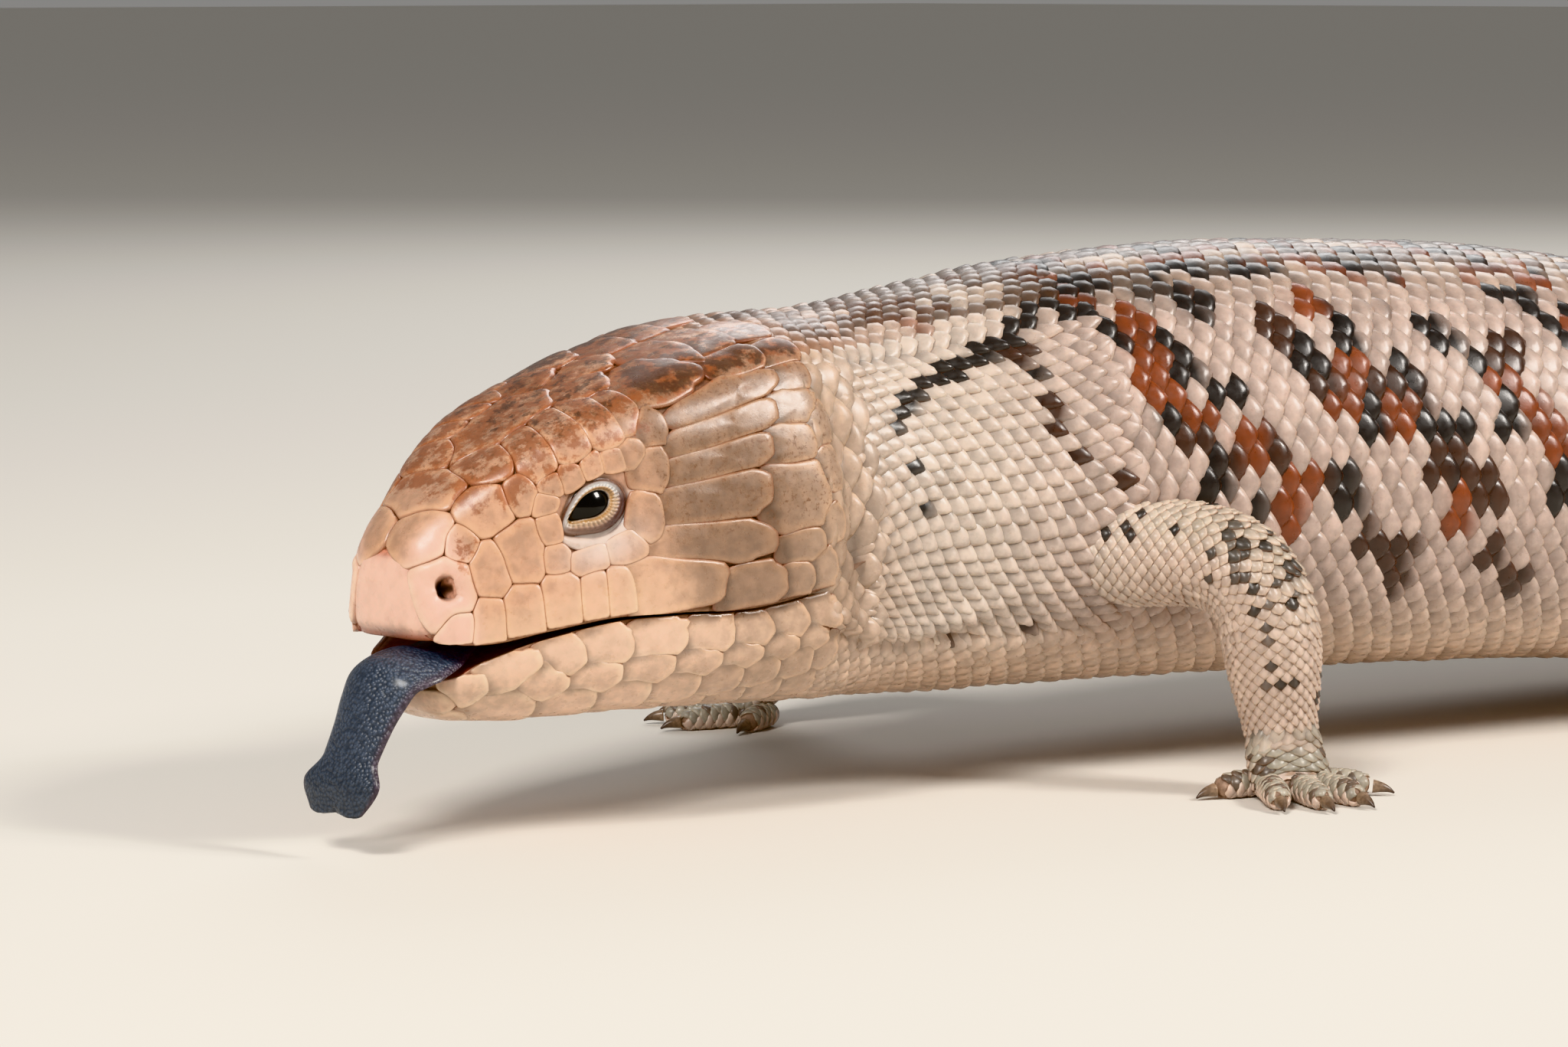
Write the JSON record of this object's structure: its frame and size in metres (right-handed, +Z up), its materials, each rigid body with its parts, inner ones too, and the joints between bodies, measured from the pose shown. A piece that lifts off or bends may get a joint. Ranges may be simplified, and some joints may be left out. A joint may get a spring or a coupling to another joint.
{
  "type": "blue tongued skink",
  "caption": "Life-size standing blue-tongued skink, a stout smooth-scaled lizard with short splayed legs, a thick tapering tail and its broad blue tongue hanging out.",
  "frame": {"origin": "on the floor, under the middle of the animal's outer box", "axes": "+X the way the head faces, +Y the animal's left, +Z up"},
  "size_m": [0.5208, 0.1722, 0.0744],
  "materials": {
    "head_skin": "satin tan and cream head shields with a pink snout",
    "body_skin": "satin overlapping scales, pinkish cream banded with near-black and rust",
    "tongue": "moist slate blue with fine papillae",
    "eye": "wet glossy near-black",
    "claw": "smooth dark horn"
  },
  "bodies": {
    "root": {"head": "head_skin", "lower_jaw": "head_skin", "neck": "body_skin", "torso_front": "body_skin", "torso_middle": "body_skin", "torso_rear": "body_skin", "tail_base": "body_skin", "tail_middle": "body_skin", "tail_tip": "body_skin", "upper_arm_left": "body_skin", "upper_arm_right": "body_skin", "forearm_left": "body_skin", "forearm_right": "body_skin", "hand_left": "body_skin", "hand_right": "body_skin", "thigh_left": "body_skin", "thigh_right": "body_skin", "shank_left": "body_skin", "shank_right": "body_skin", "foot_left": "body_skin", "foot_right": "body_skin", "tongue": "tongue", "eye_left": "eye", "eye_right": "eye", "claw_hand_left_1": "claw", "claw_hand_left_2": "claw", "claw_hand_left_3": "claw", "claw_hand_left_4": "claw", "claw_hand_left_5": "claw", "claw_hand_right_1": "claw", "claw_hand_right_2": "claw", "claw_hand_right_3": "claw", "claw_hand_right_4": "claw", "claw_hand_right_5": "claw", "claw_foot_left_1": "claw", "claw_foot_left_2": "claw", "claw_foot_left_3": "claw", "claw_foot_left_4": "claw", "claw_foot_left_5": "claw", "claw_foot_right_1": "claw", "claw_foot_right_2": "claw", "claw_foot_right_3": "claw", "claw_foot_right_4": "claw", "claw_foot_right_5": "claw"}
  },
  "joints": []
}
